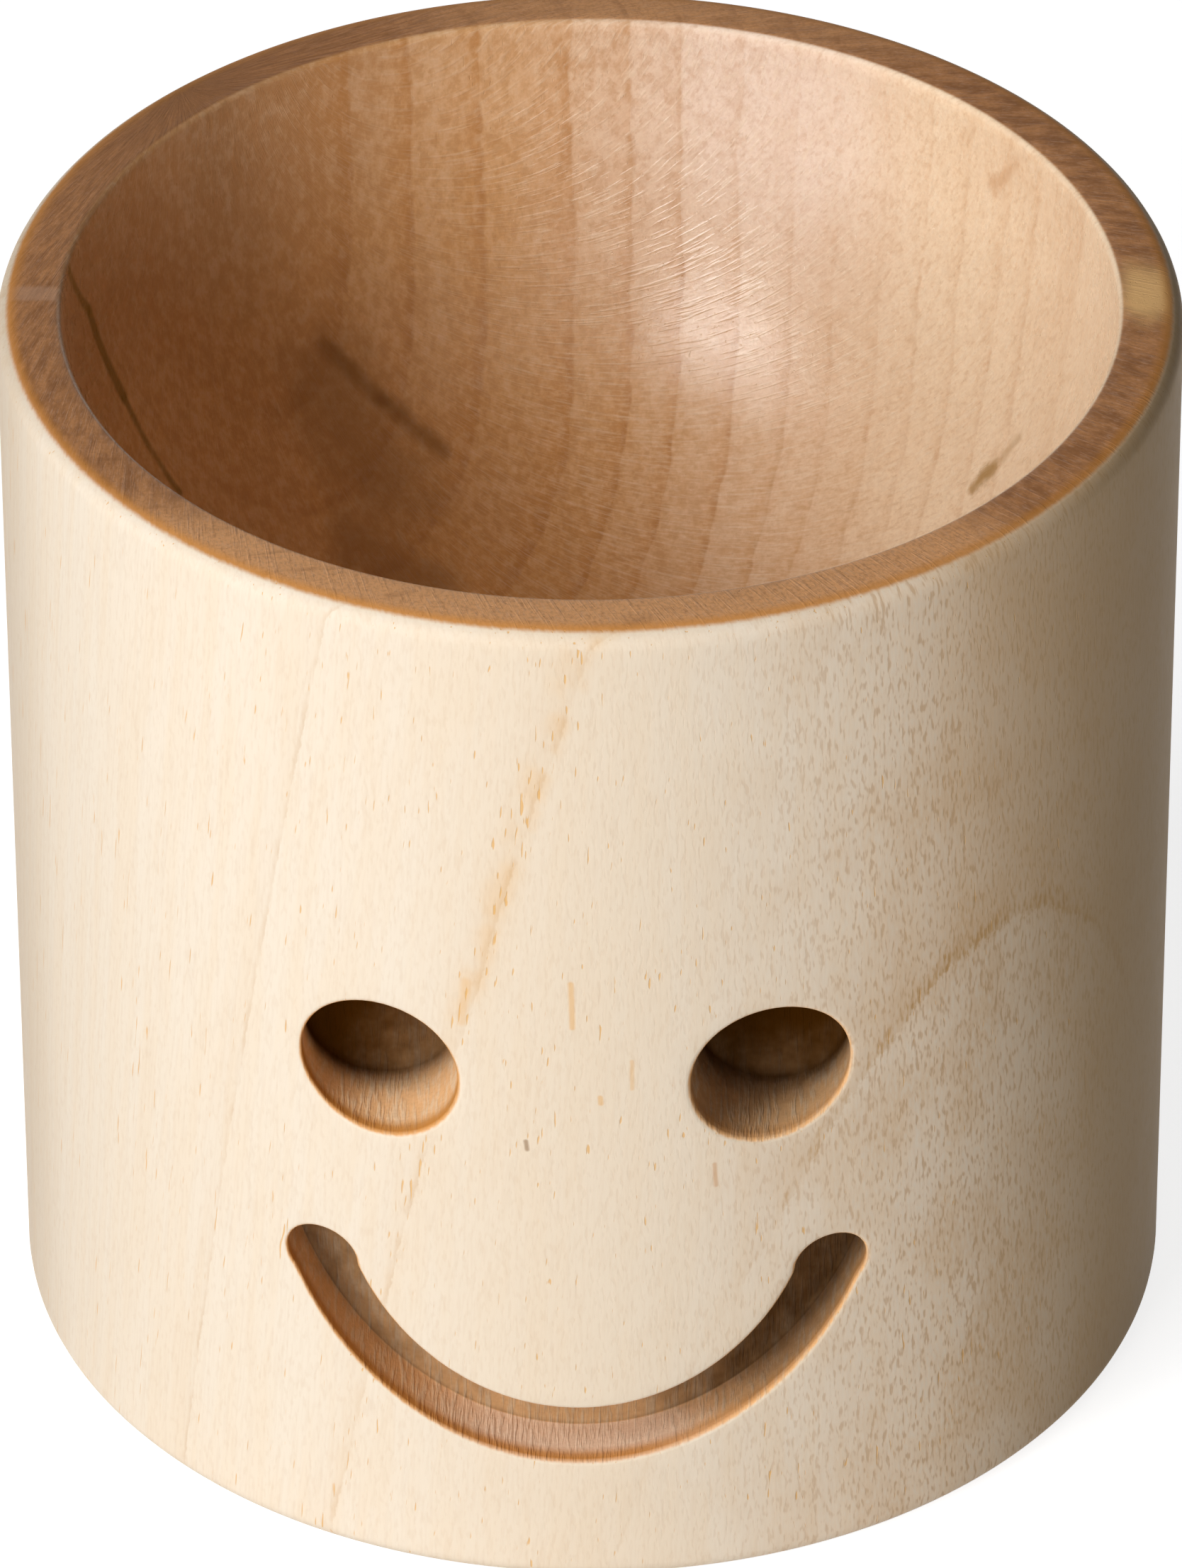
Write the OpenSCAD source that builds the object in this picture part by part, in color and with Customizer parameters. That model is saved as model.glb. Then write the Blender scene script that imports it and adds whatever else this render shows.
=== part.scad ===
// Egg cup turned from one block of pale maple, with a smiling face cut into the front.
// The origin is the middle of the base, +Z is up, and the face looks along -Y.

/* [Cup] */
// Outer diameter of the straight wall
cup_d = 50; // [47:0.5:60]
// Height from the base to the rim
cup_h = 49; // [42:0.5:60]
// Radius that softens the outer edge of the rim
rim_edge_r = 0.9; // [0.3:0.1:0.9]
// Radius that softens the edge of the base
base_edge_r = 0.8; // [0.3:0.1:1.5]

/* [Egg bowl] */
// Diameter of the bowl just under its rim, which takes the middle of an egg
bowl_d = 44.5; // [40:0.5:44.5]
// Depth of the bowl below the rim
bowl_depth = 25; // [23.5:0.5:26]
// Radius of the curve that the bowl's side follows
bowl_side_r = 27; // [26.5:0.5:32]
// Radius that breaks the inner edge of the rim
bowl_edge_r = 0.3; // [0.2:0.1:0.5]

/* [Eyes] */
// Diameter of each drilled eye
eye_d = 6.6; // [5:0.1:8]
// Distance between the middles of the eyes
eye_spacing = 16.3; // [12:0.1:20]
// Height of the eyes above the base
eye_height = 26; // [25:0.5:28]
// How far behind the front of the cup the eye floors lie
eye_floor_back = 6.2; // [5:0.1:7]
// Radius between the wall and the floor of an eye
eye_corner_r = 0.5; // [0.2:0.1:1]

/* [Smile] */
// Radius of the smile along the middle of its groove
smile_r = 11.4; // [9:0.1:13]
// Height above the base of the point that the smile curves round
smile_centre_h = 19.2; // [17:0.1:21]
// Angle that the smile sweeps, from end to end
smile_sweep = 140; // [90:2:150]
// Width of the groove
smile_w = 2.8; // [2:0.1:2.9]
// Depth of the groove below the round wall
smile_depth = 2.8; // [1.5:0.1:4]
// Diameter of the plunge where each end of the groove starts
smile_end_d = 3; // [3:0.1:4.4]

/* [Hidden] */
$fn = 180;
// How far a cutting shape runs past the wall that it cuts
overrun = 2;
cup_r = cup_d / 2;
bowl_r = bowl_d / 2;
eye_r = eye_d / 2;
smile_half = smile_sweep / 2;
// The bowl's side is an arc that leaves the rim upright. Its middle lies past the axis, level
// with the foot of the broken rim edge. A smaller arc round the axis meets it smoothly and
// closes the bottom, so the two make the end of an egg.
bowl_arc_depth = bowl_depth - bowl_edge_r;
bowl_side_back = bowl_side_r - bowl_r;
bowl_floor_r = (2 * bowl_side_r * bowl_r - pow(bowl_r, 2) - pow(bowl_arc_depth, 2))
    / (2 * (bowl_side_r - bowl_arc_depth));
bowl_floor_drop = bowl_arc_depth - bowl_floor_r;
bowl_join_depth = bowl_side_r * bowl_floor_drop / (bowl_side_r - bowl_floor_r);

// Half section of the block: a straight wall with a soft edge at the base and at the rim
module block_section() {
    translate([0, base_edge_r])
        square([cup_r, cup_h - base_edge_r - rim_edge_r]);
    square([cup_r - base_edge_r, cup_h / 2]);
    translate([cup_r - base_edge_r, base_edge_r])
        circle(r = base_edge_r);
    translate([0, cup_h / 2])
        square([cup_r - rim_edge_r, cup_h / 2]);
    translate([cup_r - rim_edge_r, cup_h - rim_edge_r])
        circle(r = rim_edge_r);
}

// The egg-shaped hollow in section, drawn from the foot of the broken rim edge
module bowl_section() {
    translate([0, -bowl_floor_drop])
        circle(r = bowl_floor_r);
    intersection() {
        translate([-bowl_side_back, 0])
            circle(r = bowl_side_r);
        translate([0, -bowl_join_depth])
            square([bowl_r, bowl_join_depth]);
    }
}

// The mouth of the hollow, rounded over where it breaks the rim
module mouth_section() {
    difference() {
        square([bowl_r + bowl_edge_r, bowl_edge_r + overrun]);
        translate([bowl_r + bowl_edge_r, 0])
            circle(r = bowl_edge_r);
    }
}

// The turned cup before the face is cut
module turned_cup() {
    rotate_extrude()
        difference() {
            block_section();
            translate([0, cup_h - bowl_edge_r]) {
                bowl_section();
                mouth_section();
            }
        }
}

// A flat-bottomed drill with a soft corner, standing on its tip
module eye_drill(length) {
    rotate_extrude() {
        square([eye_r - eye_corner_r, length]);
        translate([0, eye_corner_r])
            square([eye_r, length - eye_corner_r]);
        translate([eye_r - eye_corner_r, eye_corner_r])
            intersection() {
                circle(r = eye_corner_r);
                translate([0, -eye_corner_r])
                    square([eye_corner_r, 2 * eye_corner_r]);
            }
    }
}

// Two blind eyes drilled straight in from the front, their floors level with each other
module eyes() {
    for (side = [-1, 1])
        translate([side * eye_spacing / 2, eye_floor_back - cup_r, eye_height])
            rotate([90, 0, 0])
                eye_drill(eye_floor_back + overrun);
}

// The smile seen from the front: a bent slot whose ends start from a slightly wider plunge
module smile_outline() {
    reach = 2 * (smile_r + smile_w);
    intersection() {
        difference() {
            circle(r = smile_r + smile_w / 2);
            circle(r = smile_r - smile_w / 2);
        }
        polygon([
            [0, 0],
            [reach * sin(smile_half), -reach * cos(smile_half)],
            [reach * sin(smile_half), -reach],
            [-reach * sin(smile_half), -reach],
            [-reach * sin(smile_half), -reach * cos(smile_half)]
        ]);
    }
    for (side = [-1, 1])
        translate([side * smile_r * sin(smile_half), -smile_r * cos(smile_half)])
            circle(d = smile_end_d);
}

// The smile's groove, whose floor follows the round wall at an even depth
module smile() {
    intersection() {
        translate([0, 0, smile_centre_h])
            rotate([90, 0, 0])
                linear_extrude(height = cup_r + overrun)
                    smile_outline();
        difference() {
            cylinder(r = cup_r + overrun, h = cup_h);
            cylinder(r = cup_r - smile_depth, h = cup_h);
        }
    }
}

// The whole cup is one piece of wood
module cup() {
    color([0.90, 0.79, 0.62])
        difference() {
            turned_cup();
            eyes();
            smile();
        }
}

cup();
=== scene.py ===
import math
import bpy
import bmesh
from mathutils import Matrix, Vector
from mathutils.geometry import delaunay_2d_cdt


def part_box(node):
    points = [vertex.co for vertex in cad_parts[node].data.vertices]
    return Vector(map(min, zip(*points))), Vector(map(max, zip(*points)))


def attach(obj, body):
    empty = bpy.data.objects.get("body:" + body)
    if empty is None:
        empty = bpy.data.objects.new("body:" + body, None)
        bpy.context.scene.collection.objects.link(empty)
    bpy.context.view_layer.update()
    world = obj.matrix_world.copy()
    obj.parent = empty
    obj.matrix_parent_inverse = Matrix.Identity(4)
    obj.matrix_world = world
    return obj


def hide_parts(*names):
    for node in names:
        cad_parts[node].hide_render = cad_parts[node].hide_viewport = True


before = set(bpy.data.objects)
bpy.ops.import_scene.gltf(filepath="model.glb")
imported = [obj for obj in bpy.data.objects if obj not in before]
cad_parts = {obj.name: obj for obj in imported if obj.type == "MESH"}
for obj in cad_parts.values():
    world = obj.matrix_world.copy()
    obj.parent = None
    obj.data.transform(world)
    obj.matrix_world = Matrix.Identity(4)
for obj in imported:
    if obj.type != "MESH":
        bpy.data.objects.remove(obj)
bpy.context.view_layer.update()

# The cup.
# One block of maple turned on a lathe, with an egg-shaped hollow sunk into its end grain.
# The turning follows one half section all the way round, so the tree below spins that section.
mm = 0.001
low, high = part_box("cup")
cup_radius = (high[0] - low[0]) / 2
cup_height = high[2] - low[2]
rim_rounding = 0.9 * mm
base_rounding = 0.8 * mm
bowl_radius = 22.25 * mm
bowl_depth = 25 * mm
bowl_side_radius = 27 * mm
bowl_edge_rounding = 0.3 * mm
turning_steps = 288
section_step = 0.5 * mm
base_edge_steps = 6
rim_edge_steps = 8
mouth_edge_steps = 6
bowl_arc_steps = 36
same_place = 0.002 * mm

turning = bpy.data.node_groups.new("turn the cup", "GeometryNodeTree")
turning_sizes = {
    "Cup radius": cup_radius,
    "Cup height": cup_height,
    "Rim rounding": rim_rounding,
    "Base rounding": base_rounding,
    "Bowl radius": bowl_radius,
    "Bowl depth": bowl_depth,
    "Bowl side radius": bowl_side_radius,
    "Bowl edge rounding": bowl_edge_rounding,
    "Section step": section_step,
}
for size_name in turning_sizes:
    size_socket = turning.interface.new_socket(size_name, in_out="INPUT", socket_type="NodeSocketFloat")
    size_socket.subtype = "DISTANCE"
turning.interface.new_socket("Turning steps", in_out="INPUT", socket_type="NodeSocketInt")
turning.interface.new_socket("Wood", in_out="INPUT", socket_type="NodeSocketMaterial")
turning.interface.new_socket("Cup", in_out="OUTPUT", socket_type="NodeSocketGeometry")
given = turning.nodes.new("NodeGroupInput").outputs


def tree_node(tree, kind, inputs, **settings):
    node = tree.nodes.new(kind)
    for setting, value in settings.items():
        setattr(node, setting, value)
    for socket, value in inputs.items():
        if isinstance(value, bpy.types.NodeSocket):
            tree.links.new(value, node.inputs[socket])
        else:
            node.inputs[socket].default_value = value
    return node


def reckon(operation, first, second=0.0):
    return tree_node(turning, "ShaderNodeMath", {0: first, 1: second}, operation=operation).outputs[0]


# The section is drawn flat, with the way out from the axis first and the height second.
def point(x, z):
    return tree_node(turning, "ShaderNodeCombineXYZ", {0: x, 1: z}).outputs[0]


def straight_cut(start, end):
    line = tree_node(turning, "GeometryNodeCurvePrimitiveLine", {"Start": start, "End": end})
    stepped = {"Curve": line.outputs["Curve"], "Length": given["Section step"]}
    return tree_node(turning, "GeometryNodeResampleCurve", stepped, mode="LENGTH").outputs["Curve"]


def round_cut(centre, radius, start_angle, sweep_angle, steps):
    arc = tree_node(turning, "GeometryNodeCurveArc", {
        "Resolution": steps + 1, "Radius": radius, "Start Angle": start_angle, "Sweep Angle": sweep_angle,
    })
    placed = {"Geometry": arc.outputs["Curve"], "Translation": centre}
    return tree_node(turning, "GeometryNodeTransform", placed).outputs["Geometry"]


base_inner = reckon("SUBTRACT", given["Cup radius"], given["Base rounding"])
rim_inner = reckon("SUBTRACT", given["Cup radius"], given["Rim rounding"])
rim_foot = reckon("SUBTRACT", given["Cup height"], given["Rim rounding"])
mouth = reckon("ADD", given["Bowl radius"], given["Bowl edge rounding"])
bowl_top = reckon("SUBTRACT", given["Cup height"], given["Bowl edge rounding"])
# The bowl's side and floor are two arcs that touch, as in the section that the CAD turns.
arc_depth = reckon("SUBTRACT", given["Bowl depth"], given["Bowl edge rounding"])
side_back = reckon("SUBTRACT", given["Bowl side radius"], given["Bowl radius"])
chord = reckon("MULTIPLY", reckon("MULTIPLY", given["Bowl side radius"], given["Bowl radius"]), 2.0)
chord = reckon("SUBTRACT", chord, reckon("MULTIPLY", given["Bowl radius"], given["Bowl radius"]))
chord = reckon("SUBTRACT", chord, reckon("MULTIPLY", arc_depth, arc_depth))
spare = reckon("MULTIPLY", reckon("SUBTRACT", given["Bowl side radius"], arc_depth), 2.0)
floor_radius = reckon("DIVIDE", chord, spare)
floor_drop = reckon("SUBTRACT", arc_depth, floor_radius)
join_sine = reckon("DIVIDE", floor_drop, reckon("SUBTRACT", given["Bowl side radius"], floor_radius))
join_angle = reckon("ARCSINE", join_sine)
quarter = math.pi / 2
section_cuts = (
    straight_cut(point(0.0, 0.0), point(base_inner, 0.0)),
    round_cut(
        point(base_inner, given["Base rounding"]), given["Base rounding"],
        -quarter, quarter, base_edge_steps,
    ),
    straight_cut(point(given["Cup radius"], given["Base rounding"]), point(given["Cup radius"], rim_foot)),
    round_cut(point(rim_inner, rim_foot), given["Rim rounding"], 0.0, quarter, rim_edge_steps),
    straight_cut(point(rim_inner, given["Cup height"]), point(mouth, given["Cup height"])),
    round_cut(point(mouth, bowl_top), given["Bowl edge rounding"], quarter, quarter, mouth_edge_steps),
    round_cut(
        point(reckon("MULTIPLY", side_back, -1.0), bowl_top), given["Bowl side radius"],
        reckon("MULTIPLY", join_angle, -1.0), join_angle, bowl_arc_steps,
    ),
    round_cut(
        point(0.0, reckon("SUBTRACT", bowl_top, floor_drop)), floor_radius,
        -quarter, reckon("SUBTRACT", quarter, join_angle), bowl_arc_steps,
    ),
)
section = tree_node(turning, "GeometryNodeJoinGeometry", {})
for cut_line in section_cuts:
    turning.links.new(cut_line, section.inputs["Geometry"])
# The section is swept round a circle of one metre radius that its own offset cancels, which hangs
# it upside down, so the skin is turned over before its seam and poles are welded.
spin_radius = 1.0
spin_path = tree_node(turning, "GeometryNodeCurvePrimitiveCircle", {
    "Radius": spin_radius, "Resolution": given["Turning steps"],
})
offset_section = tree_node(turning, "GeometryNodeTransform", {
    "Geometry": section.outputs[0], "Translation": (-spin_radius, 0.0, 0.0),
})
skin = tree_node(turning, "GeometryNodeCurveToMesh", {
    "Curve": spin_path.outputs["Curve"], "Profile Curve": offset_section.outputs[0],
})
turned_over = tree_node(turning, "GeometryNodeTransform", {
    "Geometry": skin.outputs["Mesh"], "Rotation": (math.pi, 0.0, 0.0),
})
welded = tree_node(turning, "GeometryNodeMergeByDistance", {
    "Geometry": turned_over.outputs["Geometry"], "Distance": same_place,
})
realised = tree_node(turning, "GeometryNodeRealizeInstances", {"Geometry": welded.outputs["Geometry"]})
dressed = tree_node(turning, "GeometryNodeSetMaterial", {
    "Geometry": realised.outputs["Geometry"], "Material": given["Wood"],
})
tree_node(turning, "NodeGroupOutput", {"Cup": dressed.outputs["Geometry"]})

maple = bpy.data.materials.new("oiled maple")
blank = bpy.data.objects.new("turned_blank", bpy.data.meshes.new("turned blank"))
bpy.context.scene.collection.objects.link(blank)
spinning = blank.modifiers.new("turn", "NODES")
spinning.node_group = turning
identifiers = {item.name: item.identifier for item in turning.interface.items_tree if item.in_out == "INPUT"}
for size_name, size in turning_sizes.items():
    spinning[identifiers[size_name]] = size
spinning[identifiers["Turning steps"]] = turning_steps
spinning[identifiers["Wood"]] = maple
turned_mesh = bpy.data.meshes.new_from_object(blank.evaluated_get(bpy.context.evaluated_depsgraph_get()))
bpy.data.objects.remove(blank)
wood = bmesh.new()
wood.from_mesh(turned_mesh)
bowl_cut = wood.verts.layers.float.new("bowl_cut")
face_cut = wood.verts.layers.float.new("face_cut")
lip_glow_band = wood.verts.layers.float.new("lip")
shade_and_scorch = wood.verts.layers.float.new("shade_and_scorch")

# The face.
# Two flat-bottomed eyes are drilled straight in, and a bent smile is routed to an even depth below
# the round wall. Sanding leaves every lip a little soft.
eye_radius = 3.3 * mm
eye_spacing = 16.3 * mm
eye_height = 26 * mm
eye_floor_y = -18.8 * mm
eye_corner = 0.5 * mm
smile_radius = 11.4 * mm
smile_centre_height = 19.2 * mm
smile_half_sweep = math.radians(70)
smile_half_width = 1.4 * mm
smile_depth = 2.8 * mm
smile_end_radius = 1.5 * mm
smile_corner = 0.25 * mm
lip_softness = 0.25 * mm
drill_ring_gap = 0.62 * mm
drill_ring_height = 0.012 * mm
lip_steps = 5
corner_steps = 4
wall_steps = {"eye": 16, "smile": 9}
floor_steps = {"eye": 26, "smile": 6}
spoke_step = 0.22 * mm


# Each opening is a ring of spokes: a point on its spine, the way out to its wall, and how far.
def eye_spokes(centre_x):
    count = round(math.tau * eye_radius / spoke_step)
    turns = [math.tau * step / count for step in range(count)]
    return [((centre_x, eye_height), (math.sin(turn), -math.cos(turn)), eye_radius) for turn in turns]


def smile_spokes():
    count = round(2 * smile_half_sweep * smile_radius / spoke_step)
    angles = [smile_half_sweep * (2 * step / count - 1) for step in range(count + 1)]
    cap = round(math.pi * smile_end_radius / spoke_step)
    spokes = []
    for side in (1, -1):
        for angle in angles[:: side]:
            centre = (smile_radius * math.sin(angle), smile_centre_height - smile_radius * math.cos(angle))
            from_end = (smile_half_sweep - abs(angle)) * smile_radius
            plunge = math.sqrt(max(smile_end_radius ** 2 - from_end ** 2, 0.0))
            way = (side * math.sin(angle), -side * math.cos(angle))
            spokes.append((centre, way, max(smile_half_width, plunge)))
        centre, (way_x, way_z), _ = spokes[-1]
        for step in range(1, cap):
            turn = math.atan2(way_z, way_x) + math.pi * step / cap
            spokes.append((centre, (math.cos(turn), math.sin(turn)), smile_end_radius))
    return spokes


def reach(spoke, beyond):
    (x, z), (way_x, way_z), half_width = spoke
    return x + way_x * (half_width + beyond), z + way_z * (half_width + beyond)


openings = (
    ("eye", eye_spokes(-eye_spacing / 2)),
    ("eye", eye_spokes(eye_spacing / 2)),
    ("smile", smile_spokes()),
)

# A window of the turned skin is lifted out and laid again round the three openings, flat, as if
# the wall were unrolled.
window_half_angle = math.radians(36)
window_low = 3.6 * mm
window_high = 32.4 * mm
window_step = 0.5 * mm
middle_of_wall = (cup_radius + bowl_radius) / 2
window = []
for skin_face in wood.faces:
    centre = skin_face.calc_center_median()
    on_wall = math.hypot(centre.x, centre.y) > middle_of_wall
    in_front = abs(math.atan2(centre.x, -centre.y)) < window_half_angle
    if on_wall and in_front and window_low < centre.z < window_high:
        window.append(skin_face)
bmesh.ops.delete(wood, geom=window, context="FACES")
border = [edge for edge in wood.edges if len(edge.link_faces) == 1]
corners = list({vert for edge in border for vert in edge.verts})
corner_index = {vert: index for index, vert in enumerate(corners)}
flat = [(cup_radius * math.atan2(vert.co.x, -vert.co.y), vert.co.z) for vert in corners]
seams = [(corner_index[edge.verts[0]], corner_index[edge.verts[1]]) for edge in border]
border_points = len(flat)
outlines = []
for name, spokes in openings:
    outline = [reach(spoke, lip_softness) for spoke in spokes]
    first = len(flat)
    flat += [(cup_radius * math.asin(x / cup_radius), z) for x, z in outline]
    seams += [(first + step, first + (step + 1) % len(outline)) for step in range(len(outline))]
    outlines.append((first, len(outline)))


def inside(place, outline_span):
    first, count = outline_span
    x, z = place
    crossings = 0
    for step in range(count):
        x1, z1 = flat[first + step]
        x2, z2 = flat[first + (step + 1) % count]
        if (z1 > z) != (z2 > z) and x < x1 + (z - z1) * (x2 - x1) / (z2 - z1):
            crossings += 1
    return crossings % 2 == 1


edge_points = list(flat)
edge_clearance = 0.6 * window_step
window_half_width = cup_radius * window_half_angle
columns = round(2 * window_half_width / window_step)
rows = round((window_high - window_low) / window_step)
for row in range(1, rows):
    for column in range(1, columns):
        x = -window_half_width + 2 * window_half_width * (column + 0.5 * (row % 2)) / columns
        z = window_low + (window_high - window_low) * row / rows
        nearest_edge = min((x - edge_x) ** 2 + (z - edge_z) ** 2 for edge_x, edge_z in edge_points)
        if nearest_edge > edge_clearance ** 2 and not any(inside((x, z), span) for span in outlines):
            flat.append((x, z))
only_inside_seams = 1
same_point = 1e-7
laid_points, _, laid_faces, laid_from, _, _ = delaunay_2d_cdt(flat, seams, [], only_inside_seams, same_point)
assert len(laid_points) == len(flat), "two points of the window fell together"
skin_verts = {}
for (x, z), origins in zip(laid_points, laid_from):
    if origins[0] < border_points:
        skin_verts[origins[0]] = corners[origins[0]]
    else:
        angle = x / cup_radius
        around = (cup_radius * math.sin(angle), -cup_radius * math.cos(angle), z)
        skin_verts[origins[0]] = wood.verts.new(around)
for triangle in laid_faces:
    origins = [laid_from[index][0] for index in triangle]
    middle = [sum(flat[origin][axis] for origin in origins) / 3 for axis in (0, 1)]
    cut_away = False
    for first, count in outlines:
        if all(first <= origin < first + count for origin in origins) and inside(middle, (first, count)):
            cut_away = True
    if not cut_away:
        wood.faces.new([skin_verts[origin] for origin in origins])

# How dark the eyes and the smile are painted inside, from 0 for bare to 1 for black: painted shade
# in these recesses, with some scorch from the cutters' heat. The eyes' walls darken from the lip to
# the floor. The smile's stay paler than its floor, and least so toward its ends.
left_eye_shade_and_scorch = 0.88
left_eye_upward = 0.08
left_eye_outward = 0.16
right_eye_shade_and_scorch = 0.94
right_eye_upward = 0.14
right_eye_lip_shade_and_scorch = 0.34
eye_wall_curve = 2.2
smile_shade_and_scorch = 0.50
smile_leftward = 0.14
smile_rightward = 0.28
smile_foot_shade_and_scorch = 0.20
smile_wall_curve = 3
left_arm_shade_and_scorch = 0.38
right_arm_shade_and_scorch = 0.62
# The lips' orange glow is painted light through the thin sanded edge, fading into each opening.
lip_glow = 1.8
lip_glow_depth = 1.0 * mm


def between(value, start, end):
    return min(max((value - start) / (end - start), 0.0), 1.0)


def floor_shade_and_scorch(name, x, z):
    if name == "eye":
        upward = (z - eye_height) / eye_radius
        outward = (abs(x) - eye_spacing / 2) / eye_radius
        if x < 0:
            return left_eye_shade_and_scorch + left_eye_upward * upward + left_eye_outward * outward
        return right_eye_shade_and_scorch + right_eye_upward * upward
    leftward = between(-x, 3 * mm, 9 * mm)
    rightward = between(x, 2 * mm, 7 * mm)
    return smile_shade_and_scorch + smile_leftward * leftward + smile_rightward * rightward


def wall_shade_and_scorch(name, x, z, share):
    at_floor = floor_shade_and_scorch(name, x, z)
    if name == "eye":
        at_lip = 0.0 if x < 0 else right_eye_lip_shade_and_scorch
        return at_lip + (at_floor - at_lip) * share ** eye_wall_curve
    arm_shade_and_scorch = left_arm_shade_and_scorch if x < 0 else right_arm_shade_and_scorch
    toward_end = between(abs(x), 2 * mm, 8 * mm)
    return at_floor * (smile_foot_shade_and_scorch * share ** smile_wall_curve + arm_shade_and_scorch * toward_end)


def wall_y(x):
    return -math.sqrt(cup_radius * cup_radius - x * x)


def opening_floor(name, x):
    if name == "eye":
        return eye_floor_y
    return -math.sqrt((cup_radius - smile_depth) ** 2 - x * x)


def lay_ring(outer_ring, points):
    ring = [wood.verts.new(place) for place in points]
    for step in range(len(ring)):
        after = (step + 1) % len(ring)
        wood.faces.new((outer_ring[step], outer_ring[after], ring[after], ring[step]))
    return ring


# The lips roll over from the wall into each opening, the walls run straight back, and the floors
# close on the spine, with the drill's faint rings on those of the eyes.
for (name, spokes), (first, count) in zip(openings, outlines):
    corner = eye_corner if name == "eye" else smile_corner
    ring = [skin_verts[first + step] for step in range(count)]
    for lip_step in range(1, lip_steps + 1):
        roll = quarter * lip_step / lip_steps
        points = []
        for spoke in spokes:
            x, z = reach(spoke, lip_softness * (1 - math.sin(roll)))
            points.append((x, wall_y(x) + lip_softness * (1 - math.cos(roll)), z))
        ring = lay_ring(ring, points)
        for vert in ring:
            vert[face_cut] = lip_step / lip_steps
            vert[lip_glow_band] = lip_step / lip_steps
    for wall_step in range(1, wall_steps[name] + 1):
        share = wall_step / wall_steps[name]
        points = []
        for spoke in spokes:
            x, z = reach(spoke, 0.0)
            start = wall_y(x) + lip_softness
            foot = opening_floor(name, x) - corner
            points.append((x, start + (foot - start) * share, z))
        ring = lay_ring(ring, points)
        for vert in ring:
            vert[face_cut] = 1.0
            depth = vert.co.y - wall_y(vert.co.x)
            vert[lip_glow_band] = min(max(lip_glow * (1 - depth / lip_glow_depth), 0.0), 1.0)
            vert[shade_and_scorch] = wall_shade_and_scorch(name, vert.co.x, vert.co.z, share)
    for corner_step in range(1, corner_steps + 1):
        roll = quarter * corner_step / corner_steps
        points = []
        for spoke in spokes:
            x, z = reach(spoke, -corner * (1 - math.cos(roll)))
            points.append((x, opening_floor(name, x) - corner * (1 - math.sin(roll)), z))
        ring = lay_ring(ring, points)
        for vert in ring:
            vert[face_cut] = 1.0
            vert[shade_and_scorch] = floor_shade_and_scorch(name, vert.co.x, vert.co.z)
    for floor_step in range(1, floor_steps[name] + 1):
        points = []
        for spoke in spokes:
            inset = corner + (spoke[2] - corner) * floor_step / floor_steps[name]
            x, z = reach(spoke, -inset)
            drill_wave = math.sin(math.tau * (inset - corner) / drill_ring_gap) if name == "eye" else 0.0
            points.append((x, opening_floor(name, x) + drill_ring_height * drill_wave, z))
        ring = lay_ring(ring, points)
        for vert in ring:
            vert[face_cut] = 1.0
            vert[shade_and_scorch] = floor_shade_and_scorch(name, vert.co.x, vert.co.z)

bowl_floor_height = cup_height - bowl_depth
for vert in wood.verts:
    radius = math.hypot(vert.co.x, vert.co.y)
    over_rim = (vert.co.z - (cup_height - rim_rounding)) / rim_rounding
    in_bowl = vert.co.z > bowl_floor_height / 2 and radius < cup_radius - rim_rounding
    vert[bowl_cut] = 1.0 if in_bowl and not vert[face_cut] else min(max(over_rim, 0.0), 1.0)
bmesh.ops.remove_doubles(wood, verts=wood.verts, dist=same_place)
bmesh.ops.recalc_face_normals(wood, faces=wood.faces)
for skin_face in wood.faces:
    skin_face.smooth = True
cup_mesh = bpy.data.meshes.new("egg cup")
wood.to_mesh(cup_mesh)
wood.free()
cup = bpy.data.objects.new("egg_cup", cup_mesh)
bpy.context.scene.collection.objects.link(cup)
cup_mesh.materials.append(maple)
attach(cup, "root")
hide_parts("cup")

# The maple.
# The cup keeps the tree's growth rings, whose pith ran just outside the back left of the block and
# leant a little. Sanded long grain stays pale cream, and end grain and cut wood drink the oil and
# turn tan to brown. All of it follows the block, so it reads the Object coordinates.
maple.use_nodes = True
grain = maple.node_tree
shader = grain.nodes["Principled BSDF"]


def wood_node(kind, inputs, **settings):
    return tree_node(grain, kind, inputs, **settings)


def maths(operation, first, second=0.0, third=0.0):
    return wood_node("ShaderNodeMath", {0: first, 1: second, 2: third}, operation=operation).outputs[0]


def times(first, *others):
    for other in others:
        first = maths("MULTIPLY", first, other)
    return first


def vectors(operation, first, second, output="Vector"):
    other = "Scale" if operation == "SCALE" else 1
    return wood_node("ShaderNodeVectorMath", {0: first, other: second}, operation=operation).outputs[output]


def position(x, y, z):
    return wood_node("ShaderNodeCombineXYZ", {0: x, 1: y, 2: z}).outputs[0]


def eased(value, start, end, at_start=0.0, at_end=1.0):
    inputs = {0: value, 1: start, 2: end, 3: at_start, 4: at_end}
    return wood_node("ShaderNodeMapRange", inputs, interpolation_type="SMOOTHSTEP").outputs[0]


def cloud(where, size_mm, detail=1.0, roughness=0.5):
    scaled = vectors("MULTIPLY", where, [1 / size for size in size_mm])
    inputs = {"Vector": scaled, "Scale": 1.0, "Detail": detail, "Roughness": roughness}
    return wood_node("ShaderNodeTexNoise", inputs).outputs["Fac"]


# A mixing node's two colours are its sockets 6 and 7, and their mixture is its output 2.
def stain(amount, under, over):
    colours = {}
    for socket, colour in ((6, under), (7, over)):
        colours[socket] = colour if isinstance(colour, bpy.types.NodeSocket) else (*colour, 1.0)
    return wood_node("ShaderNodeMix", {0: amount, **colours}, data_type="RGBA").outputs[2]


# A coat is where it lies, how much of its colour it brings there, and that colour.
def coated(under, coats):
    for where, strength, colour in coats:
        under = stain(times(where, strength), under, colour)
    return under


def marked(layer):
    return wood_node("ShaderNodeAttribute", {}, attribute_name=layer).outputs["Fac"]


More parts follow.
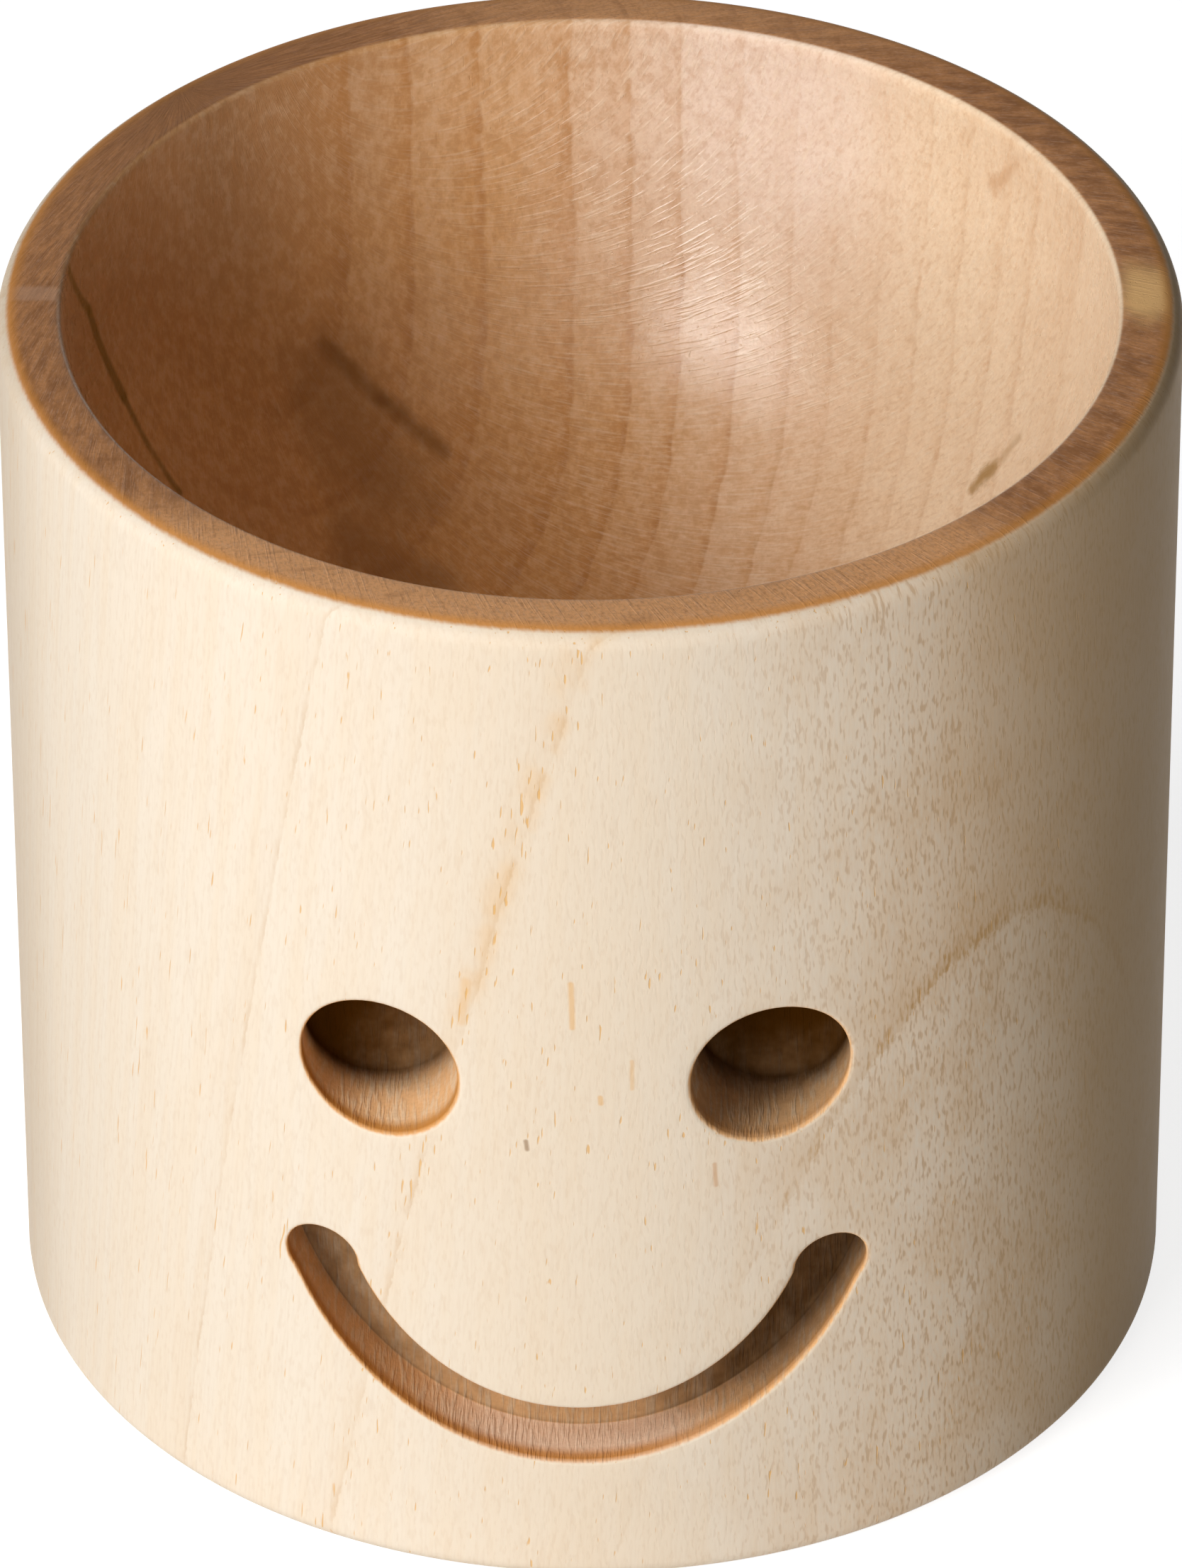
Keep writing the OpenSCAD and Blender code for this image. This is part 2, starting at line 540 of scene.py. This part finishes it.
# Places in the block are in millimetres: to the right, to the back, up and out from the axis.
block = vectors("SCALE", wood_node("ShaderNodeTexCoord", {}).outputs["Object"], 1 / mm)
across, back, height = wood_node("ShaderNodeSeparateXYZ", {0: block}).outputs
from_axis = maths("SQRT", maths("MULTIPLY_ADD", across, across, times(back, back)))
from_middle = maths("ABSOLUTE", across)
rim_mm = cup_height / mm
wall_mm = cup_radius / mm
bowl_mm = bowl_radius / mm
wander = maths("SUBTRACT", cloud(block, (9, 9, 14)), 0.5)
wobble = maths("SUBTRACT", cloud(block, (1.6, 1.6, 3.0)), 0.5)

# The rings, and the rays that run straight out from the pith between them.
pith_across_mm = -19.3
pith_back_mm = 18.9
pith_level_mm = 25
pith_lean_across = 0.046
pith_lean_back = -0.1135
level = maths("SUBTRACT", height, pith_level_mm)
from_pith_across = maths("SUBTRACT", across, maths("MULTIPLY_ADD", level, pith_lean_across, pith_across_mm))
from_pith_back = maths("SUBTRACT", back, maths("MULTIPLY_ADD", level, pith_lean_back, pith_back_mm))
pith_back_squared = times(from_pith_back, from_pith_back)
ring_spread = maths("SQRT", maths("MULTIPLY_ADD", from_pith_across, from_pith_across, pith_back_squared))


def strayed(wander_mm, wobble_mm):
    return maths("MULTIPLY_ADD", wander, wander_mm, maths("MULTIPLY_ADD", wobble, wobble_mm, ring_spread))


ring_radius = strayed(wander_mm=0.9, wobble_mm=0.45)
# The angle round the pith is measured from the line to the cup's axis, so that its jump lies
# outside the wood, and turned into an arc at a middling distance from the pith.
axis_way_across = 0.714
axis_way_front = 0.70
middling_spread_mm = 36.0
toward_axis = maths(
    "SUBTRACT", times(from_pith_across, axis_way_across), times(from_pith_back, axis_way_front)
)
beside_axis = maths(
    "MULTIPLY_ADD", from_pith_across, axis_way_front, times(from_pith_back, axis_way_across)
)
ray_arc = times(maths("ARCTAN2", beside_axis, toward_axis), middling_spread_mm)
ray_space = position(ring_spread, ray_arc, height)
fibre_space = position(from_pith_across, from_pith_back, height)

# Distances of the ring lines from the pith, in millimetres, with the years between them.
ring_lines_mm = (
    7.6, 10.5, 13.6, 17.6, 20.1, 22.3, 24.8, 27.1, 28.9,
    30.9, 32.6, 34.3, 36.2, 37.6, 40.0, 45.4, 51.5, 58.0,
)
widest_mm = 64.0
years = len(ring_lines_mm) + 2
year_curve = wood_node("ShaderNodeFloatCurve", {"Value": maths("DIVIDE", ring_radius, widest_mm)})
year_line = year_curve.mapping.curves[0]
for number, ring_mm in enumerate(ring_lines_mm):
    year_line.points.new(ring_mm / widest_mm, (number + 1) / years)
for point_on_line in year_line.points:
    point_on_line.handle_type = "VECTOR"
year_curve.mapping.update()
season = maths("FRACT", times(year_curve.outputs[0], years))
late_wood = eased(season, 0.45, 1.0)
line_end = maths("MAXIMUM", eased(season, 0.84, 0.98), eased(season, 0.05, 0.0))
line_wear = eased(cloud(ray_space, (3.0, 1.1, 2.2), 2.0), 0.36, 0.66, 0.12, 1.0)
ring_line = times(line_end, line_wear)

# How squarely the surface cuts across the fibres, and across the rays.
normal = wood_node("ShaderNodeNewGeometry", {}).outputs["Normal"]
facing_right, facing_back, facing_up = wood_node("ShaderNodeSeparateXYZ", {0: normal}).outputs
end_grain = maths("POWER", maths("ABSOLUTE", facing_up), 1.3)
along_ray = maths("MULTIPLY_ADD", facing_right, from_pith_across, times(facing_back, from_pith_back))
flat_sawn = maths("POWER", maths("ABSOLUTE", maths("DIVIDE", along_ray, ring_spread)), 2.0)

rays = cloud(ray_space, (1.6, 0.11, 0.55), 1.0)
ray_dash = eased(rays, 0.50, 0.72)
ray_gap = eased(rays, 0.48, 0.28)
ray_plate = eased(cloud(ray_space, (2.0, 0.12, 0.9), 1.0), 0.50, 0.74)
wool = cloud(ray_space, (0.5, 0.16, 0.42), 2.0, 0.6)
fibre = cloud(fibre_space, (0.14, 0.14, 6.0), 2.0)
fibre_band = cloud(fibre_space, (0.9, 0.9, 22.0), 2.0)
fuzz = cloud(block, (0.16, 0.16, 0.16), 2.0, 0.6)
mottle = cloud(block, (0.8, 0.8, 1.0), 2.0, 0.6)
cloudy = cloud(block, (4.0, 4.0, 6.0), 2.0)

# Long grain, sanded and pale. It is warmer in the middle. Toward the right, which turns from the
# lamps, it is painted warmer and darker as shade, and there the rays come out square and show as
# dashes, painted stronger as grazing light would show them.
cream = (0.87, 0.755, 0.615)
cream_warm = (0.86, 0.70, 0.52)
dash_brown = (0.58, 0.36, 0.19)
warm_brown = (0.95, 0.64, 0.37)
cloud_brown = (0.70, 0.46, 0.25)
painted_shade_brown = (0.48, 0.32, 0.16)
fleck_orange = (0.80, 0.44, 0.13)
line_orange = (0.56, 0.31, 0.11)
toward_shaded_right = eased(across, 3, 17)
pale = coated(cream, (
    (eased(fibre_band, 0.35, 0.68), 0.45, cream_warm),
    (eased(from_middle, 9, 2), 0.50, cream_warm),
    (toward_shaded_right, 0.30, warm_brown),
    (times(eased(cloudy, 0.40, 0.62), toward_shaded_right), 0.40, cloud_brown),
    (eased(fibre, 0.42, 0.68), 0.08, dash_brown),
    (ray_dash, maths("MULTIPLY_ADD", toward_shaded_right, 0.58, 0.10), dash_brown),
    (ray_gap, maths("MULTIPLY_ADD", toward_shaded_right, 0.42, 0.05), cream),
))
# Behind, where the pith is close, every year comes out through the wall as an upright band.
toward_pith = eased(back, -8, 6)
pale = coated(pale, (
    (times(late_wood, toward_pith), 0.26, cream_warm),
    (times(late_wood, toward_pith), 0.12, line_orange),
    (times(ring_line, toward_pith), 0.34, line_orange),
    (times(eased(fibre, 0.40, 0.66), toward_pith), 0.16, dash_brown),
))
# Only three rings come out through the round wall in front, as thin lines that darken toward their
# outer edge. The outermost breaks into dashes and fades toward the base. The next lies outside.
wall_ring = strayed(wander_mm=0.22, wobble_mm=0.10)
wall_ring = maths("MULTIPLY_ADD", maths("SUBTRACT", wool, 0.5), 0.16, wall_ring)
front_rings_mm = ring_lines_mm[-4:-1]
for ring_mm, darkness in zip(front_rings_mm, (0.24, 0.24, 0.95)):
    lead_in = times(eased(wall_ring, ring_mm - 1.3, ring_mm), eased(wall_ring, ring_mm + 0.03, ring_mm))
    thin_line = times(eased(wall_ring, ring_mm - 0.16, ring_mm), eased(wall_ring, ring_mm + 0.05, ring_mm))
    if ring_mm == front_rings_mm[-1]:
        line_fade = eased(height, 14, 25, 0.10, 1.0)
        thin_line = times(thin_line, line_fade, eased(rays, 0.40, 0.60, 0.35, 1.0))
        lead_in = times(lead_in, line_fade)
    pale = coated(pale, (
        (lead_in, 0.20 * darkness, line_orange),
        (times(thin_line, line_wear), darkness, line_orange),
    ))
middle_ring_mm = front_rings_mm[1]
near_middle_ring = times(
    eased(wall_ring, middle_ring_mm - 0.7, middle_ring_mm - 0.05),
    eased(wall_ring, middle_ring_mm + 0.3, middle_ring_mm),
)
fleck_crowd = maths("MULTIPLY_ADD", near_middle_ring, 0.075, times(cloudy, 0.12))
flecks = maths("ADD", cloud(fibre_space, (0.13, 0.13, 2.8), 1.0), fleck_crowd)
fleck_mark = eased(flecks, 0.775, 0.84)
pale = coated(pale, (
    (times(near_middle_ring, line_wear), eased(height, 20, 34, 0.05, 0.26), fleck_orange),
    (fleck_mark, 0.75, fleck_orange),
    # Painted shade where the wall turns from the lamps: its far left edge, and its right side.
    (eased(across, -22.0, -24.8), 0.30, painted_shade_brown),
    (times(eased(height, 24, 42), eased(across, 12, 18)), 0.46, cloud_brown),
    (eased(across, 14, 25), 0.78, painted_shade_brown),
    (times(eased(across, 20, 23.5), eased(height, 38, 26)), 0.55, painted_shade_brown),
))

# End grain and cut wood, deep with oil. Its left side, turned from the lamps, is painted darker and
# more orange as shade, deepest high up under the rim and low in the bowl, and its lit right side is
# painted golden. Over some years between them, a pale band near the rim is a painted sheen.
peach = (0.88, 0.63, 0.42)
peach_deep = (0.76, 0.47, 0.26)
end_brown = (0.62, 0.33, 0.15)
painted_shade_orange = (0.68, 0.335, 0.10)
painted_sheen_pale = (0.98, 0.79, 0.66)
painted_light_gold = (1.0, 0.78, 0.54)
painted_shade_dark = (0.40, 0.16, 0.04)
late_orange = (0.62, 0.29, 0.09)
blotch_orange = (0.50, 0.225, 0.065)
ring_red = (0.52, 0.24, 0.08)
ray_pale = (0.95, 0.76, 0.56)
painted_shade_share = times(eased(across, 9, -5), eased(height, 39, 48, 1.0, 0.68))
painted_sheen_band = times(eased(ring_spread, 14, 25), eased(ring_spread, 36, 29), eased(height, 35, 44))
deep = coated(peach, (
    (eased(mottle, 0.34, 0.68), 0.6, peach_deep),
    # End grain browns all round, and more on the left, where the extra is painted shade.
    (end_grain, eased(across, 9, -4, 0.30, 0.75), end_brown),
    (painted_shade_share, eased(wool, 0.25, 0.60, 0.50, 0.80), painted_shade_orange),
    # Painted shade low on the left of the bowl, and high under the rim on the left.
    (times(eased(height, 34, 28), eased(across, 6, -4)), 0.35, painted_shade_orange),
    (times(eased(height, 38, 46), eased(across, -6, -13)), 0.42, painted_shade_dark),
    # Painted sheen near the rim, and painted light on the lit right side.
    (painted_sheen_band, 0.90, painted_sheen_pale),
    (eased(across, 8, 16), 0.90, painted_light_gold),
    (eased(cloudy, 0.40, 0.66), 0.18, peach_deep),
))
rings_share = times(
    eased(across, -17, -9, 0.25, 1.0), eased(across, 11, 3, 0.24, 1.0),
    maths("MULTIPLY_ADD", painted_sheen_band, -0.78, 1.0),
)
blotch = cloud(block, (0.5, 0.5, 0.8), 3.0, 0.68)
left_of_light = eased(across, 10, -2, 0.30, 1.0)
wool_share = eased(across, -14, 4, 0.35, 1.0)
deep = coated(deep, (
    (times(late_wood, rings_share), 0.50, late_orange),
    (times(ring_line, rings_share), 0.80, ring_red),
    (times(eased(blotch, 0.44, 0.62), left_of_light), 0.36, blotch_orange),
    (times(eased(blotch, 0.50, 0.34), left_of_light), 0.20, peach),
    (times(eased(wool, 0.46, 0.70), wool_share), 0.24, ray_pale),
    (times(eased(wool, 0.50, 0.30), wool_share), 0.22, ring_red),
    (times(ray_plate, wool_share), 0.28, ray_pale),
    (eased(fuzz, 0.35, 0.70), 0.14, ring_red),
))

# Dark resin lines that the turning laid bare, two wide soft patches that darken the bowl's left
# middle, and small flecks on the wall. Each is a short run between two places, of a half width and a
# fading edge, bent by the same unevenness.
unevenness = vectors("SUBTRACT", wood_node(
    "ShaderNodeTexNoise", {"Vector": block, "Scale": 0.9, "Detail": 2.0}
).outputs["Color"], (0.5, 0.5, 0.5))


def streak(start, end, width, softness, raggedness):
    length = math.dist(start, end)
    way = [(second - first) / length for first, second in zip(start, end)]
    moved = vectors("ADD", block, vectors("SCALE", unevenness, raggedness))
    from_start = vectors("SUBTRACT", moved, start)
    run = vectors("DOT_PRODUCT", from_start, way, "Value")
    run = wood_node("ShaderNodeClamp", {"Value": run, "Min": 0.0, "Max": length}).outputs[0]
    apart = vectors("DISTANCE", from_start, vectors("SCALE", way, run), "Value")
    return eased(apart, width + softness, width)


ochre = (0.40, 0.22, 0.06)
resin_olive = (0.27, 0.14, 0.015)
resin_dark = (0.23, 0.095, 0.02)
soft_patch_brown = (0.30, 0.14, 0.045)
deep = coated(deep, (
    (streak((-22.1, 2.3, 48.5), (-21.5, 4.6, 45.0), 0.10, 0.30, 0.2), 0.80, resin_olive),
    (streak((-21.5, 4.6, 45.0), (-20.2, 5.3, 40.2), 0.16, 0.32, 0.2), 0.85, resin_olive),
    (streak((-20.2, 5.3, 40.2), (-17.9, 5.3, 35.3), 0.08, 0.26, 0.2), 0.80, resin_olive),
    (streak((-11.8, 14.2, 35.0), (-9.4, 12.8, 31.0), 0.40, 3.60, 2.6), 0.52, soft_patch_brown),
    (streak((-12.1, 15.1, 36.6), (-9.6, 15.0, 33.9), 0.08, 0.60, 0.4), 0.58, resin_dark),
    (streak((-9.6, 15.0, 33.9), (-6.9, 14.5, 31.5), 0.02, 0.65, 0.4), 0.64, resin_dark),
    (streak((-10.7, 9.7, 29.7), (-7.3, 9.5, 27.7), 0.20, 2.00, 2.0), 0.58, soft_patch_brown),
    (streak((16.4, 7.9, 34.4), (17.3, 7.8, 35.6), 0.10, 0.55, 1.2), 0.80, ochre),
    (streak((16.7, 7.8, 34.8), (18.3, 7.5, 37.4), 0.02, 0.35, 0.8), 0.45, ochre),
    (streak((17.0, 14.1, 45.9), (18.6, 12.9, 48.4), 0.10, 0.50, 0.8), 0.50, end_brown),
))
pale = coated(pale, (
    (streak((-0.10, -25.0, 31.5), (-0.05, -25.0, 29.3), 0.05, 0.14, 0.1), 0.55, fleck_orange),
    (streak((-4.45, -24.6, 31.3), (-4.64, -24.6, 29.2), 0.05, 0.30, 0.2), 0.35, fleck_orange),
    (streak((-2.00, -24.9, 23.3), (-1.95, -24.9, 22.9), 0.04, 0.12, 0.1), 0.60, resin_dark),
    (streak((5.85, -24.3, 21.8), (5.92, -24.3, 20.7), 0.03, 0.12, 0.1), 0.55, end_brown),
    (streak((1.12, -25.0, 25.7), (1.14, -25.0, 25.4), 0.06, 0.12, 0.1), 0.55, fleck_orange),
    (streak((2.41, -24.9, 27.5), (2.44, -24.9, 26.1), 0.03, 0.12, 0.1), 0.40, fleck_orange),
))

# The rim's flat top drinks the most oil, in fuzzy patches. It is lighter in front and behind. One
# olive patch on the right and a thin pale stripe on the left are painted highlights, where the turned
# face catches the light at its sides. The pale line where it breaks inward is a painted highlight too.
rim_brown = (0.58, 0.265, 0.105)
rim_dark = (0.30, 0.125, 0.045)
rim_tan = (0.88, 0.45, 0.20)
rim_pink = (0.66, 0.40, 0.26)
rim_highlight_olive = (0.98, 0.60, 0.25)
rim_cloud = cloud(ray_space, (1.6, 0.7, 1.0), 3.0, 0.6)
rim_tufts = cloud(ray_space, (0.5, 0.12, 0.5), 2.0, 0.7)
rim_hollows = cloud(ray_space, (0.6, 0.14, 0.5), 2.0, 0.7)
rim_back = times(eased(back, 17, 23), eased(across, -12, -4, 0.0, 0.45))
rim_light = maths("MULTIPLY_ADD", cloudy, 0.5, maths("ADD", rim_back, eased(back, -13, -20.5)))
patch_back = maths("MULTIPLY_ADD", wobble, 2.4, back)
right_highlight_patch = times(eased(across, 22.0, 23.0), eased(patch_back, -1.8, 0.6), eased(patch_back, 4.4, 1.2))
left_highlight_stripe = times(eased(across, -21.0, -22.0), eased(back, -0.9, -0.6), eased(back, 0.5, 0.1))
rim = coated(rim_dark, (
    (eased(rim_cloud, 0.30, 0.70), 1.0, rim_brown),
    (eased(rim_light, 0.20, 1.15), 0.90, rim_tan),
    (eased(rim_tufts, 0.48, 0.72), 0.40, rim_pink),
    (eased(rim_hollows, 0.50, 0.28), 0.35, rim_dark),
    (ray_plate, 0.15, rim_pink),
    (eased(fuzz, 0.42, 0.68), 0.26, rim_dark),
    (ring_line, 0.35, rim_dark),
    (times(eased(across, -6, -16), eased(back, 4, 14)), 0.34, rim_dark),
    (right_highlight_patch, 0.82, rim_highlight_olive),
    (left_highlight_stripe, 0.40, rim_pink),
))

# The cutters' walls in the eyes and the smile, browned by heat, with torn fibres standing pale. The
# middle of the smile's lower wall is painted paler as light falls on it, and the floors and deep walls
# take painted shade, with some scorch, down to near black.
cut_tan = (0.95, 0.57, 0.28)
torn = (0.94, 0.72, 0.48)
painted_light_tan = (0.92, 0.72, 0.56)
char_and_shade = (0.060, 0.021, 0.002)
# Painted shade in the recesses, with some scorch, read from the mesh's layer.
shade_and_scorch_mark = marked("shade_and_scorch")
cut_streak = eased(cloud(block, (0.15, 1.3, 1.3), 2.0), 0.40, 0.70)
# Painted light on the middle of the smile's lower wall, which faces up to the lamps.
lit_mid_smile = times(eased(height, 14, 12), eased(from_middle, 8, 3), eased(shade_and_scorch_mark, 0.40, 0.12))
shade_and_scorch_amount = maths("ADD", shade_and_scorch_mark, times(maths("SUBTRACT", mottle, 0.5), 0.20))
cut = coated(cut_tan, (
    (cut_streak, 0.75, torn),
    (lit_mid_smile, 0.75, painted_light_tan),
    (eased(fuzz, 0.35, 0.70), 0.16, ring_red),
    (eased(shade_and_scorch_amount, 0.05, 0.95), 1.0, char_and_shade),
))

# Each finish keeps to its own surface, with a slightly ragged edge. The rim's outer edge is
# orange, and the lips of the eyes and smile take an orange glow of painted light shining through
# their thin sanded edge, stronger on the left.
lip_orange = (0.62, 0.25, 0.045)
ragged = maths("SUBTRACT", cloud(ray_space, (0.5, 0.16, 0.5), 2.0), 0.5)
bowl_mask = eased(maths("MULTIPLY_ADD", ragged, 0.08, marked("bowl_cut")), 0.76, 0.92)
face_mask = eased(maths("MULTIPLY_ADD", ragged, 0.30, marked("face_cut")), 0.22, 0.60)
on_rim = times(
    eased(height, rim_mm - 0.16, rim_mm - 0.03), eased(from_axis, bowl_mm + 0.11, bowl_mm + 0.25)
)
outer_edge = times(bowl_mask, eased(from_axis, wall_mm - 1.1, wall_mm - 0.5))
# A painted highlight along the bowl's inner edge, stronger to the right.
inner_edge_highlight = times(
    eased(height, rim_mm - 0.40, rim_mm - 0.20), eased(from_axis, bowl_mm + 0.27, bowl_mm + 0.11)
)
deep = coated(deep, (
    (times(inner_edge_highlight, eased(across, -10, 14)), 0.20, ray_pale),
    (on_rim, 1.0, rim),
    (outer_edge, 0.7, lip_orange),
))
# The glow at the lips is painted light through their thin edge.
lip_glow_share = times(marked("lip"), face_mask)
finish = coated(pale, (
    (bowl_mask, 1.0, deep),
    (face_mask, 1.0, cut),
    (lip_glow_share, eased(across, 2, 8, 0.92, 0.46), lip_orange),
))
grain.links.new(finish, shader.inputs["Base Color"])

# Sanding leaves the fibres a hair proud and the pores a hair low, here in millimetres.
relief = times(fibre, 0.004)
for where, height_mm in (
    (times(ray_dash, flat_sawn), -0.004),
    (fleck_mark, -0.010),
    (times(fuzz, maths("MAXIMUM", bowl_mask, face_mask)), 0.006),
    (times(ray_plate, bowl_mask), 0.008),
    (times(cut_streak, face_mask), 0.03),
):
    relief = maths("MULTIPLY_ADD", where, height_mm, relief)
bump = wood_node("ShaderNodeBump", {"Strength": 1.0, "Distance": mm, "Height": relief})
grain.links.new(bump.outputs["Normal"], shader.inputs["Normal"])

# The bowl is rubbed smoother than the rest, and its right side to a soft shine.
bare_roughness = 0.46
rubbed_smoother = -0.23
bare_gloss = 0.06
polished_gloss = 0.94
in_bowl_only = times(eased(from_axis, bowl_mm + 0.65, bowl_mm + 0.15), bowl_mask)
mottled_roughness = maths("MULTIPLY_ADD", mottle, 0.10, bare_roughness)
roughness = maths("MULTIPLY_ADD", in_bowl_only, rubbed_smoother, mottled_roughness)
grain.links.new(roughness, shader.inputs["Roughness"])
polished = times(
    eased(across, -12, 4), eased(height, 31.5, 36.5), in_bowl_only,
    eased(height, rim_mm - 0.4, rim_mm - 0.8),
)
gloss_outside_cuts = maths("MULTIPLY_ADD", face_mask, -bare_gloss, bare_gloss)
gloss = maths("MULTIPLY_ADD", polished, polished_gloss, gloss_outside_cuts)
grain.links.new(gloss, shader.inputs["Specular IOR Level"])

# The floor.
# A sheet of white studio paper that the cup stands on. It shows white to the camera and in
# reflections, without lighting the wood, and keeps the cup's shadow.
floor_half_size = 3.0
paper_grey = (0.6, 0.6, 0.6, 1)
white = (1, 1, 1, 1)
paper_glow = 0.8
floor_mesh = bpy.data.meshes.new("floor")
paper_sheet = bmesh.new()
bmesh.ops.create_grid(paper_sheet, x_segments=1, y_segments=1, size=floor_half_size)
paper_sheet.to_mesh(floor_mesh)
paper_sheet.free()
floor = bpy.data.objects.new("floor", floor_mesh)
bpy.context.scene.collection.objects.link(floor)
white_paper = bpy.data.materials.new("white paper")
white_paper.use_nodes = True
paper = white_paper.node_tree
for node in list(paper.nodes):
    paper.nodes.remove(node)


def seen_rays(tree):
    rays_here = tree_node(tree, "ShaderNodeLightPath", {}).outputs
    seen = rays_here["Is Camera Ray"]
    for kind in ("Is Glossy Ray", "Is Transmission Ray"):
        either = tree_node(tree, "ShaderNodeMath", {0: seen, 1: rays_here[kind]}, operation="MAXIMUM")
        seen = either.outputs[0]
    return seen


glow_level = tree_node(paper, "ShaderNodeMath", {0: seen_rays(paper), 1: paper_glow}, operation="MULTIPLY")
glow = tree_node(paper, "ShaderNodeEmission", {"Color": white, "Strength": glow_level.outputs[0]})
matt = tree_node(paper, "ShaderNodeBsdfDiffuse", {"Color": paper_grey})
both = tree_node(paper, "ShaderNodeAddShader", {0: matt.outputs[0], 1: glow.outputs[0]})
tree_node(paper, "ShaderNodeOutputMaterial", {"Surface": both.outputs[0]})
floor_mesh.materials.append(white_paper)

# Light and camera.
# Four square softboxes stand round the cup and look at its middle: a key and a side light from the
# left, a low one in front and a faint one behind. The camera looks down at the face from afar.
camera_swing = math.radians(1.77)
camera_dip = math.radians(35.258)
camera_roll = -0.00284
camera_distance = 526.25 * mm
camera_aim = (-0.0135 * mm, 0, 23.9705 * mm)
lamp_aim = (0, 0, 25 * mm)
camera_turn = Matrix.Rotation(camera_swing, 4, "Z")


def softbox(name, azimuth, elevation, distance, size, power):
    lamp = bpy.data.lights.new(name, "AREA")
    lamp.shape = "SQUARE"
    lamp.size = size
    lamp.energy = power
    holder = bpy.data.objects.new(name, lamp)
    bpy.context.scene.collection.objects.link(holder)
    swing = Matrix.Rotation(math.radians(-azimuth), 4, "Z")
    tilt = Matrix.Rotation(math.radians(90 - elevation), 4, "X")
    stand_off = Matrix.Translation((0, 0, distance))
    holder.matrix_world = camera_turn @ Matrix.Translation(lamp_aim) @ swing @ tilt @ stand_off


softbox("key softbox", azimuth=34.5, elevation=22, distance=0.8, size=0.40, power=3.3)
softbox("side softbox", azimuth=60, elevation=44, distance=0.8, size=0.40, power=2.6)
softbox("front softbox", azimuth=0, elevation=6, distance=0.8, size=0.35, power=2.0)
softbox("back softbox", azimuth=172, elevation=25, distance=0.9, size=0.5, power=0.32)

world = bpy.data.worlds.new("studio")
bpy.context.scene.world = world
world.use_nodes = True
sky = world.node_tree
sky_light = sky.nodes["Background"]
sky_light.inputs["Color"].default_value = white
faint_fill = 0.03
sky_level = tree_node(sky, "ShaderNodeMix", {"Factor": seen_rays(sky), "A": faint_fill, "B": 1.0})
sky.links.new(sky_level.outputs["Result"], sky_light.inputs["Strength"])

camera_data = bpy.data.cameras.new("camera")
camera_data.lens = 279.15
camera_data.sensor_width = 36
camera_data.clip_start = 0.05
camera = bpy.data.objects.new("camera", camera_data)
bpy.context.scene.collection.objects.link(camera)
camera.matrix_world = (
    camera_turn
    @ Matrix.Translation(camera_aim)
    @ Matrix.Rotation(math.radians(90) - camera_dip, 4, "X")
    @ Matrix.Rotation(camera_roll, 4, "Z")
    @ Matrix.Translation((0, 0, camera_distance))
)
bpy.context.scene.camera = camera
bpy.context.scene.view_settings.view_transform = "Standard"
